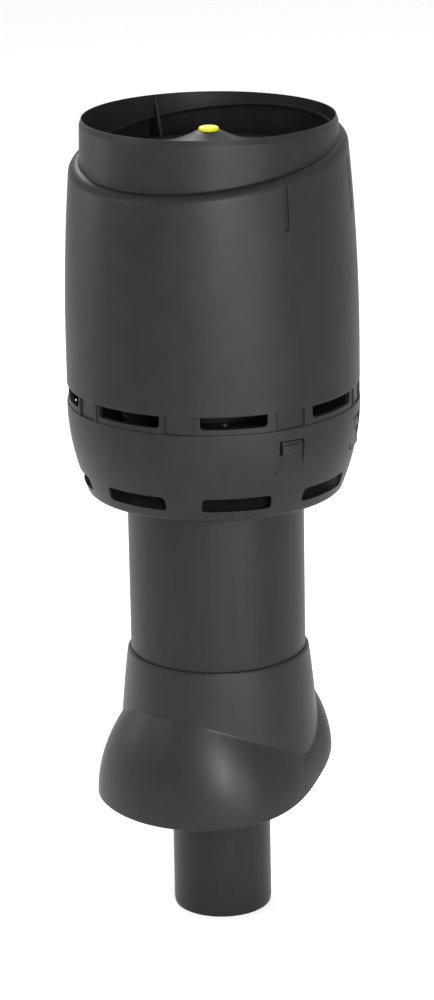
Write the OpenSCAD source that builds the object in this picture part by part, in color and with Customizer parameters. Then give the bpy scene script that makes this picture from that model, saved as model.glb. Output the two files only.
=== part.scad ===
// Roof sewer vent pipe: a straight-through drain pipe inside an insulated outer pipe, a storm collar
// whose skirt follows the roof, and a rain hat with a mouth ring, a rain cone and a slotted drain bowl.
// Millimetres, +Z up. The origin is on the pipe's axis at the bottom end of the drain spigot, and -Y is
// the low side: the roof falls that way, and the hat's shoulder and the skirt slant down to it.
// Bearings round the axis are in degrees from -Y, positive towards +X.

/* [Drain pipe] */
// Outside diameter of the drain pipe, a standard size
drain_d = 110; // [104:1:114]
// Wall of the drain pipe
drain_wall = 3.2; // [2.4:0.1:4]
// How far the drain pipe's upper end stands above the outer pipe's
drain_lift = 27; // [22:1:31]
// Length of the chamfer that guides the spigot into the next socket
spigot_chamfer_len = 15; // [8:1:20]
// Depth of that chamfer
spigot_chamfer = 2.4; // [1:0.1:2.4]
// How far the stop bead above the spigot stands out
stop_bead = 3; // [2:0.5:5]
// Height of the stop bead, which also carries the end ring
stop_bead_h = 5; // [4:0.5:8]

/* [Outer pipe] */
// Outside diameter of the outer pipe
outer_d = 194; // [190:1:196]
// Wall of the outer pipe
outer_wall = 3; // [2:0.1:4]
// Height of the outer pipe's lower end, hidden in the skirt
outer_bottom = 152; // [148:1:165]
// Height of the outer pipe's upper end, inside the hat
outer_top = 575; // [570:1:580]
// Thickness of the ring that closes the insulation from below
end_ring_t = 7; // [5:0.5:12]
// Space left free above the insulation
insulation_gap = 11; // [9:1:20]

/* [Storm collar] */
// Height of the collar's top edge
collar_top = 309; // [300:1:320]
// How far the collar's top edge stands out from the outer pipe
collar_step = 3.2; // [2.6:0.1:4]
// How much the sleeve widens down to the lowest point of the crease
sleeve_flare = 11.5; // [8:0.1:14]
// Height of the crease between sleeve and skirt at the two sides
crease_side_z = 196.5; // [190:0.5:202]
// Rise of that crease at the low side
crease_front_rise = 58; // [50:1:62]
// Rise of that crease at the high side
crease_back_rise = 66; // [58:1:76]
// Height of the skirt's rim at the low side
rim_z = 139.5; // [130:0.5:146]
// Even part of the rim's rise towards the high side
rim_rise = 22; // [14:1:28]
// Part of the rim's rise that gathers near the high side
rim_sweep = 60; // [50:1:76]
// Radius of the skirt's rim at the two sides
rim_side_r = 118.5; // [117:0.5:122]
// How far the skirt's nose reaches past that at the low side
rim_nose = 22.5; // [18:0.5:28]
// How far the skirt's tail reaches past that at the high side
rim_tail = 7; // [3:0.5:10]
// Wall of the collar
collar_wall = 2.4; // [2:0.1:2.6]
// Height of the band of the seal under the collar's top edge
collar_seal_h = 9; // [6:0.5:14]

/* [Drain bowl] */
// How far the bowl's top edge, where the slot band starts, stands above the outer pipe's end
bowl_lift = 20.5; // [19:0.5:22]
// Height of the bowl's side
bowl_h = 100.5; // [97:0.5:106]
// Radius of the bowl's bottom edge
bowl_foot_r = 139; // [134:0.5:142]
// Largest radius of the bowl
bowl_r = 159.4; // [158.6:0.1:161]
// Height of the straight part of that side, under its top edge
bowl_straight = 5.5; // [3.5:0.5:9.5]
// Height of the slot band between the bowl's top edge and the shell
band_h = 19.5; // [17:0.5:22]
// Wall of the bowl
bowl_wall = 3; // [2.4:0.1:3.2]
// Depth of the slot band's blank panels behind the bowl's edge
panel_depth = 2.4; // [1.6:0.1:2.6]
// Depth of the framed plates round the slots behind the bowl's edge
plate_depth = 1.4; // [0.8:0.1:1.5]
// Length of the socket that holds the outer pipe, below its top end
socket_len = 68; // [60:1:72]

/* [Slots] */
// Number of slots in each row
slot_count = 8; // [8]
// Width of the bar between two upper slots
bar_w = 45; // [40:1:52]
// Width of such a bar where a latch is below it
latch_bar_w = 57; // [52:1:62]
// Width of the blank panel in the middle of a bar, between its two ribs
panel_w = 34; // [28:1:38]
// Width of a rib
rib_w = 2; // [1.2:0.1:2.8]
// Height of the sill under an upper slot
slot_sill = 6; // [4:0.5:7]
// Width of a lower slot
drain_slot_w = 74.5; // [60:0.5:78]
// Height of a lower slot's bottom lip above the bowl's bottom edge
drain_slot_lift = 12; // [11:0.5:14]
// Height of a lower slot
drain_slot_h = 15.5; // [12:0.5:17]
// Radius of the slots' round corners
slot_corner = 4.5; // [3:0.5:5]

/* [Hat shell] */
// How far the shell's side stands back from the bowl's
shell_step = 0.2; // [0:0.1:0.8]
// Height of the straight part of the shell's side, above its lower edge
shell_straight = 35; // [30:1:40]
// Radius of the long curve up the shell's side
shell_curve_r = 2350; // [2200:10:2600]
// Wall of the shell
shell_wall = 3; // [2.4:0.1:3.2]
// Height of the slanted shoulder on the axis above the shell's lower edge
shoulder_h = 256.3; // [253:0.1:258]
// Slant of the shoulder, down to the low side
shoulder_tilt = 9.8; // [8:0.1:10]
// Radius of the shoulder's rounding
shoulder_round = 11; // [8:0.5:12]
// Length of the shell's four grooves
groove_len = 55; // [45:1:62]
// How far a groove ends below the shoulder's height on the axis
groove_drop = 9.3; // [8.3:0.5:21.3]
// Width of a groove
groove_w = 6; // [4:0.5:7]
// Depth of a groove
groove_depth = 1.4; // [0.8:0.1:1.8]

/* [Mouth ring] */
// Height of the ring above the shoulder on the axis
ring_h = 32.7; // [30.7:0.1:36.7]
// How far the ring stands back from the shell's side, over the shoulder
ring_step = 20.2; // [19.8:0.1:21.2]
// How much the ring draws in up to its lip
ring_draw = 1; // [0:0.1:2]
// Wall of the ring at the shoulder
ring_wall = 4; // [3.4:0.1:5]
// Height of the lip's bevel
lip_h = 6; // [4:0.5:8]
// Thickness of the lip's top edge
lip_t = 1.2; // [1:0.1:2]

/* [Rain cone] */
// Gap between the cone's rim and the mouth ring's inside
cone_gap = 17; // [15:0.5:21]
// Depth of the cone's rim below the mouth ring's top edge
cone_sink = 43; // [41:0.5:46]
// Height of the cone from its rim to its top, under the plug
cone_h = 26.5; // [24:0.5:28]
// Wall of the cone
cone_wall = 2.5; // [2:0.1:3]
// Depth of the cone's drop-shaped underside below the cone's rim
drop_h = 65; // [61:1:71]
// Diameter of the plug on the cone's top
plug_d = 22; // [20:0.5:24]
// Thickness of the plug's cap
plug_t = 4.5; // [3.5:0.1:5]
// Thickness of the fins that carry the cone
fin_t = 3; // [2:0.1:4]
// Number of fins
fin_count = 3; // [3:1:4]
// Bearing of the first fin
fin_turn = 1.6; // [0:0.1:3]
// Diameter of the screw through the cone
cone_screw_d = 8; // [6:1:9]

/* [Exhaust nozzle] */
// Outside radius of the nozzle's mouth
nozzle_r = 101; // [96:0.5:104]
// Height of the nozzle's mouth above the outer pipe's end
nozzle_h = 200; // [190:1:205]
// Wall of the nozzle
nozzle_wall = 2.5; // [2:0.1:3]
// Radius of the flange on which the nozzle stands
flange_r = 82; // [78:0.5:88]
// Thickness of that flange
flange_t = 3; // [2.5:0.1:4]

/* [Latches] */
// Width of a latch window in the bowl
window_w = 31; // [28:0.5:33]
// Height of a latch window
window_h = 16; // [14:0.5:17]
// Depth of a latch window's upper edge below the bowl's top edge
window_drop = 12.5; // [10.5:0.5:14.5]
// Height of the flat thumb recess under a window, where it runs out in the bowl's side
recess_len = 19; // [15:0.5:20]
// Bearing of the first latch; the others mirror it
latch_bearing = 67; // [65:0.5:70]
// Width of a snap tongue
tongue_w = 24; // [20:0.5:25]
// Thickness of a snap tongue
tongue_t = 2.7; // [2.2:0.1:3]

/* [Fasteners] */
// Diameter of the screws that hold the hat on the outer pipe
pipe_screw_d = 4.2; // [3.5:0.1:5]
// Number of those screws
pipe_screw_count = 3; // [3:1:4]
// Depth of those screws below the outer pipe's upper end
pipe_screw_drop = 33; // [25:1:40]
// Diameter of the screws that hold the nozzle
flange_screw_d = 4.2; // [3.5:0.1:5]
// Number of those screws
flange_screw_count = 4; // [3:1:6]

/* [Fits] */
// Gap between a pipe and the socket round it
socket_gap = 0.25; // [0.15:0.05:0.4]
// Gap between pieces that sit inside each other
seat_gap = 0.2; // [0.1:0.05:0.3]
// Gap round a screw's shank
screw_gap = 0.1; // [0.05:0.05:0.2]

/* [Hidden] */
$fn = 96;

// Colours
shell_black = [0.2, 0.2, 0.21];
pipe_black = [0.22, 0.22, 0.23];
seal_black = [0.07, 0.07, 0.07];
foam_grey = [0.78, 0.78, 0.76];
steel = [0.68, 0.69, 0.71];
plug_yellow = [0.9, 0.85, 0.1];

// A small step that lets a cut run past a face, a reach that clears the whole object, and the
// distance that a cut through a wall starts behind its face
over = 1;
far = 220;
cut_in = 12;
corner_steps = 6;
edge_round = 0.8;

// Heights up the whole part, each from the one that carries it
drain_top = outer_top + drain_lift;
bowl_top = outer_top + bowl_lift;
bowl_bottom = bowl_top - bowl_h;
bowl_curve_z = bowl_top - bowl_straight;
window_top = bowl_top - window_drop;
window_bottom = window_top - window_h;
shell_bottom = bowl_top + band_h;
shell_curve_z = shell_bottom + shell_straight;
shoulder_z = shell_bottom + shoulder_h;
groove_top = shoulder_z - groove_drop;
groove_bottom = groove_top - groove_len;
mouth_top = shoulder_z + ring_h;
cone_rim_z = mouth_top - cone_sink;
cone_top = cone_rim_z + cone_h;
drop_bottom = cone_rim_z - drop_h;
nozzle_top = outer_top + nozzle_h;
pipe_screw_z = outer_top - pipe_screw_drop;

// Pipes
drain_r = drain_d/2;
drain_in_r = drain_r - drain_wall;
bead_top = outer_bottom - seat_gap;
outer_r = outer_d/2;
outer_in_r = outer_r - outer_wall;
insulation_top = outer_top - insulation_gap;
socket_in_r = outer_r + socket_gap;
socket_out_r = socket_in_r + bowl_wall;

// Storm collar: azimuth steps, and rows down the sleeve and the skirt on each face
collar_top_r = outer_r + collar_step;
collar_steps = 72;
sleeve_rows = 5;
skirt_rows = 11;
collar_lip_r = outer_r + socket_gap;
collar_lip_h = 3;
rim_round = 0.6;
crease_back_bend = 1.5;
nose_width = 66;
tail_width = 30;
waist_bearing = 100;

// Drain bowl
shell_r = bowl_r - shell_step;
bowl_power = 1.9;
bowl_rows = 12;
panel_r = bowl_r - panel_depth;
plate_r = bowl_r - plate_depth;
spigot_gap = 0.4;
spigot_r = shell_r - shell_wall - spigot_gap;
spigot_h = 12;
slot_bottom = bowl_top + slot_sill;
drain_slot_z = bowl_bottom + drain_slot_lift;
hub_top = outer_top + bowl_wall;
hub_bore_r = drain_r + 4;
floor_edge_z = bowl_bottom + 4.5;
floor_hub_z = bowl_bottom + 19;
floor_bend = 3;
foot_w = 4;
foot_round = 1.5;
rib_step = 0.1;
recess_back = 2.4;

// Latches: bearings of the four, where the grooves of the shell are too
latch_bearings = [latch_bearing, 180 - latch_bearing, latch_bearing - 180, -latch_bearing];

// Bars between the upper slots: the bearing and the width of each, one after the other
plain_bearing = 180/slot_count;
bars = [[plain_bearing, bar_w], [latch_bearing, latch_bar_w], [180 - latch_bearing, latch_bar_w],
    [180 - plain_bearing, bar_w], [180 + plain_bearing, bar_w], [180 + latch_bearing, latch_bar_w],
    [360 - latch_bearing, latch_bar_w], [360 - plain_bearing, bar_w]];

// Latch tongues
tongue_gap = 0.9;
tongue_out_r = spigot_r - bowl_wall - tongue_gap;
tip_gap = 0.5;
root_r = shell_r - shell_wall/2 - over;
tongue_root_h = 16;
tongue_root_z = shell_bottom + spigot_h + seat_gap + 2;
hook_gap = 2;
hook_face_r = bowl_r - 1.8;
hook_shift = 1.4;

// Mouth ring: it stands on the shoulder, and the shell's hole leaves a ledge inside it
ring_r = shell_r - ring_step;
ring_in_r = ring_r - ring_wall;
lip_r = ring_in_r + lip_t;
ledge_w = 1;
hole_r = ring_in_r - ledge_w;

// Hat shell: the shoulder is cut by a slanted disc, moved towards the low side
groove_flat = 0.3;
groove_back_rim = 1;
shell_rows = 10;
cap_step = 8.7;
cap_r = shell_r - cap_step;
cap_shift = 3.2;
cap_flare = 18;
cap_flare_h = 45;
cap_arc_steps = 8;

// Plug
plug_round = 2.6;
plug_stem_h = 1.2;
plug_stem_t = 1.6;
plug_hollow = 1.5;

// Rain cone
cone_r = ring_in_r - cone_gap;
boss_r = 13;
head_seat_z = cone_top - 7.5;
head_hole_r = 8.5;
head_r = 6.5;
head_h = 6;
hub_r = 12;
nut_af = 13;
nut_h = 6.5;
cone_power = 2;
cone_rows = 10;
cone_lip_h = 9;
cone_lip_out = 1.5;
rim_edge_h = 2;
boss_h = 6;
inner_grow = 1;
screw_end = 2;
hex_key = 7;
under_rim_z = cone_rim_z - cone_lip_h;
under_rim_r = cone_r - 1;
under_flat_r = cone_r - 8;
under_power = 0.62;
screw_r = cone_screw_d/2;
under_hub_h = 34;
under_hub_top = drop_bottom + under_hub_h;
fin_shelf_r = cone_r - 6;
fin_inner_r = cone_r + cone_lip_out + seat_gap;
fin_drop = 34;
fin_top_gap = 3;
fin_shelf_t = 6;
fin_slope = 8;

// Nozzle
nozzle_rows = 12;
nozzle_socket_r = drain_r + seat_gap;
nozzle_lip_r = 3;
nozzle_start = drain_top + 2;
bell_mix = 0.15;
seal_h = 6;
seal_z = hub_top + 7;
bead_in_r = drain_r + 3;
bead_roof = 2;
bead_slope = 3;
hub_seal_t = 3;
hub_seal_lip = 4;
flange_screw_circle = drain_r + 16;

// Small heads
pan_head_r = 4.5;
pan_head_h = 2.6;
pan_head_draft = 1;
recess_w = 1.2;
recess_h = 1.4;
pipe_screw_len = 12;
flange_screw_len = 9;

// Radius of a curve that leaves the upright at height z0, for a long arc of radius big
function shell_r_at(z) = shell_r - pow(max(0, z - shell_curve_z), 2)/(2*shell_curve_r);
function bowl_r_at(z) = bowl_r - (bowl_r - bowl_foot_r)
    * pow(max(0, bowl_curve_z - z)/(bowl_curve_z - bowl_bottom), bowl_power);
function half_angle(width) = asin(width/2/bowl_r);
function smooth(t) = let (c = min(1, max(0, t))) c*c*(3 - 2*c);
function shoulder_at(b, r) = shoulder_z - r*cos(b)*tan(shoulder_tilt);

// Storm collar: crease and rim round the bearing b, and the radius of each row
function sleeve_r(z) = collar_top_r + sleeve_flare
    * pow(max(0, collar_top - z)/(collar_top - crease_side_z), 0.8);
function crease_z(b) = crease_side_z
    + (cos(b) > 0 ? crease_front_rise*cos(b) : crease_back_rise*pow(-cos(b), crease_back_bend));
function rim_turn(b) = (1 - cos(b))/2;
function rim_height(b) = rim_z + rim_rise*rim_turn(b) + rim_sweep*pow(rim_turn(b), 3.6);
function rim_radius(b) = rim_side_r + rim_nose*smooth((waist_bearing - b)/nose_width)
    + rim_tail*smooth((b - waist_bearing)/tail_width);
function bulge(u) = u*(2 - u);

// A point of the collar at bearing b, radius r and height z
function collar_point(b, r, z) = [r*sin(b), -r*cos(b), z];

// Rows of the collar at one bearing: down the outside, round the rim, and up the inside
function sleeve_row(b, k) = let (z = collar_top - (collar_top - crease_z(b))*k/sleeve_rows)
    [sleeve_r(z), z];
function skirt_row(b, k) = let (a = abs(b), u = k/skirt_rows, zc = crease_z(b), zr = rim_height(b),
    rc = sleeve_r(zc)) [rc + (rim_radius(a) - rc)*bulge(u), zc - (zc - zr)*u];
function inward(p, d) = [p[0] - d, p[1]];
function collar_outside(b) = concat(
    [[collar_top_r - rim_round, collar_top], [collar_top_r, collar_top - rim_round]],
    [for (k = [1:sleeve_rows - 1]) sleeve_row(b, k)],
    [for (k = [0:skirt_rows]) skirt_row(b, k)]);
function collar_inside(b) = concat(
    [for (k = [skirt_rows:-2:0]) inward(skirt_row(b, k), collar_wall)],
    [for (k = [sleeve_rows - 1:-1:1]) inward(sleeve_row(b, k), collar_wall)],
    [[sleeve_r(collar_top - collar_lip_h) - collar_wall, collar_top - collar_lip_h],
     [collar_lip_r, collar_top - collar_lip_h], [collar_lip_r, collar_top]]);
function bearing(i) = let (b = 360*i/collar_steps) b > 180 ? b - 360 : b;

// Puts what is drawn along +X at the bearing b
module at_bearing(b) { rotate([0, 0, b - 90]) children(); }

// Repeats what is drawn along +X round the axis, from the bearing first
module round_axis(count, first = 0) {
    for (i = [0:count - 1]) at_bearing(first + 360*i/count) children();
}

module tube(r_out, r_in, z0, z1) {
    translate([0, 0, z0]) difference() {
        cylinder(r = r_out, h = z1 - z0);
        translate([0, 0, -over]) cylinder(r = r_in, h = z1 - z0 + 2*over);
    }
}

// A block of a round wall between two radii and two heights, centred on +X
module sector(r_in, r_out, z0, z1, angle) {
    rotate([0, 0, -angle/2]) rotate_extrude(angle = angle)
        translate([r_in, z0]) square([r_out - r_in, z1 - z0]);
}

// A rod along +X between two radii at height z
module spoke(r_in, r_out, z, r) {
    translate([r_in, 0, z]) rotate([0, 90, 0]) cylinder(r = r, h = r_out - r_in);
}

// Points of a quarter circle that starts at angle a0
function corner(x, z, r, a0) = [for (k = [0:corner_steps]) let (a = a0 + 90*k/corner_steps)
    [x + r*cos(a), z + r*sin(a)]];

// A cutter along +X between two radii and two heights, with round lower corners, and with round
// upper ones if round_top is true
module slot_cutter(r_in, r_out, z0, z1, width, r, round_top) {
    side = width/2 - r;
    translate([r_in, 0, 0]) rotate([90, 0, 90]) linear_extrude(r_out - r_in) polygon(concat(
        corner(-side, z0 + r, r, 180), corner(side, z0 + r, r, 270),
        round_top ? concat(corner(side, z1 - r, r, 0), corner(-side, z1 - r, r, 90))
            : [[width/2, z1], [-width/2, z1]]));
}

// The space under the slanted shoulder, drawn in by inset all round. Its round edge ends in a flare
// that leans out more than the shell's wall does, so that it runs out of the shell all the way round.
module under_shoulder(inset) {
    radius = shoulder_round - inset;
    centre = cap_r - shoulder_round*cos(cap_flare);
    edge = centre + radius*cos(cap_flare);
    edge_z = radius*sin(cap_flare) - shoulder_round;
    translate([0, 0, shoulder_z]) rotate([shoulder_tilt, 0, 0]) translate([0, -cap_shift, 0]) {
        rotate_extrude() polygon(concat(
            [[0, -2*far], [0, -inset]],
            [for (k = [0:cap_arc_steps]) let (a = 90 - (90 - cap_flare)*k/cap_arc_steps)
                [centre + radius*cos(a), radius*sin(a) - shoulder_round]],
            [[edge + cap_flare_h*tan(cap_flare), edge_z - cap_flare_h],
             [far, edge_z - cap_flare_h], [far, -2*far]]));
    }
}

module barrel(inset, z0, z1) {
    rotate_extrude() polygon(concat([[0, z0]],
        [for (k = [0:shell_rows]) let (z = z0 + (z1 - z0)*k/shell_rows) [shell_r_at(z) - inset, z]],
        [[0, z1]]));
}

// A groove with round ends, as deep all along as the wall's own slope asks
module groove() {
    start = shell_r_at(groove_top) - 2*groove_depth;
    difference() {
        slot_cutter(start, far, groove_bottom, groove_top, groove_w, groove_w/2 - groove_flat, true);
        barrel(groove_depth, shell_bottom, mouth_top);
    }
}

// A screw along +X with its pan head's seat at radius r_seat
module pan_screw(d, r_seat, length) {
    translate([r_seat, 0, 0]) rotate([0, 90, 0]) difference() {
        union() {
            translate([0, 0, -length]) cylinder(d = d, h = length + pan_head_h/2);
            cylinder(r1 = pan_head_r, r2 = pan_head_r - pan_head_draft, h = pan_head_h);
        }
        for (a = [0, 90]) rotate([0, 0, a])
            translate([-pan_head_r/2, -recess_w/2, pan_head_h - recess_h])
                cube([pan_head_r, recess_w, recess_h + over]);
    }
}

module drain_pipe() color(pipe_black) rotate_extrude() polygon([
    [drain_in_r, 0], [drain_r - spigot_chamfer, 0], [drain_r, spigot_chamfer_len],
    [drain_r, bead_top - stop_bead_h], [drain_r + stop_bead, bead_top - stop_bead_h],
    [drain_r + stop_bead, bead_top], [drain_r, bead_top], [drain_r, drain_top], [drain_in_r, drain_top]]);

module insulation() color(foam_grey) difference() {
    tube(outer_in_r - seat_gap, drain_r + seat_gap, outer_bottom + end_ring_t, insulation_top);
    round_axis(pipe_screw_count)
        spoke(socket_out_r - pipe_screw_len - over, outer_r, pipe_screw_z, pipe_screw_d/2 + seat_gap);
}

module outer_pipe() color(pipe_black) difference() {
    tube(outer_r, outer_in_r, outer_bottom, outer_top);
    round_axis(pipe_screw_count)
        spoke(outer_in_r - over, outer_r + over, pipe_screw_z, pipe_screw_d/2 + screw_gap);
}

module end_ring() color(shell_black)
    tube(outer_in_r - seat_gap, drain_r + seat_gap, outer_bottom, outer_bottom + end_ring_t - seat_gap);

module storm_collar() {
    rows = len(collar_outside(0)) + len(collar_inside(0));
    points = [for (i = [0:collar_steps - 1]) let (b = bearing(i))
        for (p = concat(collar_outside(b), collar_inside(b))) collar_point(b, p[0], p[1])];
    faces = [for (i = [0:collar_steps - 1]) let (n = (i + 1)%collar_steps)
        for (k = [0:rows - 1]) let (m = (k + 1)%rows)
            for (f = [[i*rows + k, n*rows + m, i*rows + m], [i*rows + k, n*rows + k, n*rows + m]]) f];
    color(shell_black) polyhedron(points = points, faces = faces, convexity = 6);
}

module collar_seal() color(seal_black)
    tube(sleeve_r(collar_top - collar_lip_h) - collar_wall, outer_r + seat_gap/2,
        collar_top - collar_lip_h - collar_seal_h, collar_top - collar_lip_h - seat_gap);

module bowl_body() rotate_extrude() polygon(concat(
    [[socket_in_r, outer_top - socket_len], [bowl_foot_r - foot_w, bowl_bottom],
     [bowl_foot_r - foot_round, bowl_bottom]],
    [for (k = [0:bowl_rows]) let (low = bowl_bottom + foot_round, z = low + (bowl_curve_z - low)*k/bowl_rows)
        [bowl_r_at(z), z]],
    [[bowl_r, bowl_top - edge_round], [bowl_r - edge_round, bowl_top], [panel_r, bowl_top],
     [panel_r, shell_bottom],
     [spigot_r, shell_bottom], [spigot_r, shell_bottom + spigot_h],
     [spigot_r - bowl_wall, shell_bottom + spigot_h], [spigot_r - bowl_wall, bowl_curve_z]],
    [for (k = [bowl_rows:-1:0]) let (low = floor_edge_z + floor_bend,
        z = low + (bowl_curve_z - floor_bend - low)*k/bowl_rows) [bowl_r_at(z) - bowl_wall, z]],
    [[bowl_foot_r - bowl_wall, floor_edge_z], [socket_out_r, floor_hub_z], [socket_out_r, hub_top],
     [hub_bore_r, hub_top], [hub_bore_r, outer_top], [socket_in_r, outer_top]]));

// The plate round an upper slot that takes up an angle, with a rib at each end, where the panels start
module slot_plate(angle) {
    sector(panel_r - over, plate_r, bowl_top, shell_bottom, angle);
    for (s = [-1, 1]) rotate([0, 0, s*angle/2]) translate([panel_r - over, -rib_w/2, bowl_top])
        cube([over + bowl_r - rib_step - panel_r, rib_w, shell_bottom - bowl_top]);
}

// Repeats for each upper slot between bars i and i + 1, along +X at the slot's bearing; grip is the
// part of each bar that the slot's piece leaves free, and the piece gets its angle in $angle
module between_bars(grip) {
    for (i = [0:len(bars) - 1]) let (n = (i + 1)%len(bars),
        a = bars[i][0] + half_angle(grip > 0 ? grip : bars[i][1]),
        z = bars[n][0] + (n == 0 ? 360 : 0) - half_angle(grip > 0 ? grip : bars[n][1]))
        at_bearing((a + z)/2) { $angle = z - a; children(); }
}

// The wall behind a thumb recess
module recess_wall() {
    low = window_bottom - recess_len;
    translate([bowl_r_at(low) - recess_back, -window_w/2 - recess_back, low - recess_back])
        cube([recess_back, window_w + 2*recess_back, recess_len + recess_back]);
}

module drain_bowl() color(shell_black) difference() {
    union() {
        bowl_body();
        between_bars(panel_w) slot_plate($angle);
        for (b = latch_bearings) at_bearing(b) recess_wall();
    }
    between_bars(0) slot_cutter(panel_r - cut_in, far, slot_bottom, shell_bottom,
        2*bowl_r*sin($angle/2), slot_corner, false);
    round_axis(slot_count) slot_cutter(bowl_foot_r - cut_in, far, drain_slot_z,
        drain_slot_z + drain_slot_h, drain_slot_w, slot_corner, true);
    for (b = latch_bearings) at_bearing(b) {
        translate([bowl_r - cut_in, -window_w/2, window_bottom]) cube([far, window_w, window_h]);
        translate([bowl_r_at(window_bottom - recess_len), -window_w/2, window_bottom - recess_len - over])
            cube([far, window_w, recess_len + window_h/2]);
    }
    round_axis(pipe_screw_count)
        spoke(socket_in_r - over, socket_out_r + over, pipe_screw_z, pipe_screw_d/2 + screw_gap);
    for (i = [0:flange_screw_count - 1]) rotate([0, 0, 45 + 360*i/flange_screw_count])
        translate([flange_screw_circle, 0, outer_top - over])
            cylinder(r = flange_screw_d/2 + screw_gap, h = bowl_wall + 2*over);
}

module hub_seal() color(seal_black) {
    tube(hub_bore_r - seat_gap, drain_r + seat_gap/2, outer_top - hub_seal_t, hub_top - seat_gap);
    tube(hub_bore_r + hub_seal_lip, drain_r + over, outer_top - hub_seal_t, outer_top - seat_gap/2);
}

module pipe_screws() color(steel) round_axis(pipe_screw_count)
    translate([0, 0, pipe_screw_z]) pan_screw(pipe_screw_d, socket_out_r + seat_gap, pipe_screw_len);

// The nozzle's inner radius rises in a bell curve from the drain pipe's bore to the mouth
function nozzle_in(z) = let (t = (z - drain_top)/(nozzle_top - drain_top))
    drain_in_r + (nozzle_r - nozzle_wall - drain_in_r)*smooth((1 - bell_mix)*t + bell_mix*t*t);

module exhaust_nozzle() color(shell_black) difference() {
    rotate_extrude() polygon(concat(
        [[nozzle_socket_r, hub_top], [flange_r, hub_top], [flange_r, hub_top + flange_t],
         [bead_in_r + nozzle_wall, hub_top + flange_t],
         [bead_in_r + nozzle_wall, seal_z + seal_h + bead_roof],
         [nozzle_socket_r + nozzle_wall, seal_z + seal_h + bead_roof + bead_slope],
         [nozzle_socket_r + nozzle_wall, nozzle_start]],
        [for (k = [1:nozzle_rows]) let (z = nozzle_start + (nozzle_top - nozzle_start)*k/nozzle_rows)
            [max(nozzle_socket_r, nozzle_in(z)) + nozzle_wall, z]],
        [[nozzle_r - nozzle_wall/2, nozzle_top + nozzle_lip_r]],
        [for (k = [nozzle_rows:-1:0]) let (z = drain_top + (nozzle_top - drain_top)*k/nozzle_rows)
            [nozzle_in(z), z]],
        [[nozzle_socket_r, drain_top], [nozzle_socket_r, seal_z + seal_h], [bead_in_r, seal_z + seal_h],
         [bead_in_r, seal_z], [nozzle_socket_r, seal_z]]));
    for (i = [0:flange_screw_count - 1]) rotate([0, 0, 45 + 360*i/flange_screw_count])
        translate([flange_screw_circle, 0, hub_top - over])
            cylinder(r = flange_screw_d/2 + screw_gap, h = flange_t + 2*over);
}

module nozzle_seal() color(seal_black)
    tube(bead_in_r - seat_gap/2, drain_r + seat_gap/2, seal_z + seat_gap/2, seal_z + seal_h - seat_gap/2);

module flange_screws() color(steel)
    for (i = [0:flange_screw_count - 1]) rotate([0, 0, 45 + 360*i/flange_screw_count])
        translate([flange_screw_circle, 0, 0]) rotate([0, -90, 0])
            pan_screw(flange_screw_d, hub_top + flange_t, flange_screw_len);

module hat_shell() color(shell_black) {
    difference() {
        union() {
            difference() {
                intersection() {
                    barrel(0, shell_bottom, mouth_top);
                    under_shoulder(0);
                }
                intersection() {
                    barrel(shell_wall, shell_bottom - over, mouth_top);
                    under_shoulder(shell_wall);
                }
            }
            groove_backs();
            tongues();
        }
        cylinder(r = hole_r, h = mouth_top + over);
        for (b = latch_bearings) at_bearing(b) groove();
    }
}

// The backs of the grooves stand out inside the shell as ribs
module groove_backs() {
    inner = shell_r_at(groove_top) - shell_wall - groove_depth;
    back_w = groove_w + 2*groove_back_rim;
    for (b = latch_bearings) at_bearing(b) difference() {
        intersection() {
            translate([inner - over, -back_w/2, groove_bottom])
                cube([far, back_w, groove_top - groove_bottom - shell_wall]);
            barrel(shell_wall/2, shell_bottom, mouth_top);
        }
        barrel(shell_wall + groove_depth, shell_bottom, mouth_top);
    }
}

module tongues() {
    tip_z = window_bottom + tip_gap;
    for (b = latch_bearings) at_bearing(b) {
        translate([tongue_out_r - tongue_t, -tongue_w/2, tip_z])
            cube([tongue_t, tongue_w, tongue_root_z + tongue_root_h - tip_z]);
        translate([tongue_out_r - tongue_t, -tongue_w/2, tongue_root_z])
            cube([root_r - tongue_out_r + tongue_t, tongue_w, tongue_root_h]);
        translate([tongue_out_r - over, -tongue_w/2 + hook_shift, tip_z])
            cube([hook_face_r - tongue_out_r + over, tongue_w, window_h - hook_gap - tip_gap]);
    }
}

module mouth_ring() color(shell_black) intersection() {
    rotate_extrude() polygon([[ring_in_r, shell_bottom], [ring_r, shell_bottom],
        [ring_r, shoulder_z], [ring_r - ring_draw, mouth_top - lip_h],
        [lip_r, mouth_top - edge_round], [lip_r - edge_round, mouth_top],
        [ring_in_r, mouth_top - edge_round/2]]);
    translate([0, 0, shoulder_z]) rotate([shoulder_tilt, 0, 0])
        translate([-far, -far, 0]) cube([2*far, 2*far, far]);
}

module cone_fins() color(shell_black) for (i = [0:fin_count - 1]) {
    b = fin_turn + 360*i/fin_count;
    foot_z = shoulder_at(b, shell_r) - shell_wall - shoulder_round;
    low_z = under_rim_z - fin_drop;
    wall = shell_wall + seat_gap;
    at_bearing(b) translate([0, fin_t/2, 0]) rotate([90, 0, 0]) linear_extrude(fin_t)
        polygon([[hole_r - seat_gap, mouth_top - fin_top_gap], [fin_inner_r, cone_rim_z + over],
            [fin_inner_r, under_rim_z - seat_gap], [fin_shelf_r, under_rim_z - seat_gap],
            [fin_shelf_r, under_rim_z - fin_shelf_t], [fin_inner_r + fin_slope, low_z + fin_slope],
            [shell_r_at(low_z) - wall, low_z], [shell_r_at(foot_z) - wall - seat_gap, foot_z],
            [ring_r - over, shoulder_at(b, ring_r - over) - shell_wall - over],
            [hole_r - seat_gap, shoulder_at(b, hole_r) - shell_wall - over]]);
}

// Height of the rain cone's top face at radius r
function cone_z(r) = cone_rim_z + (cone_top - cone_rim_z)
    * pow(1 - (max(boss_r, r) - boss_r)/(cone_r - boss_r), cone_power);

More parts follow.
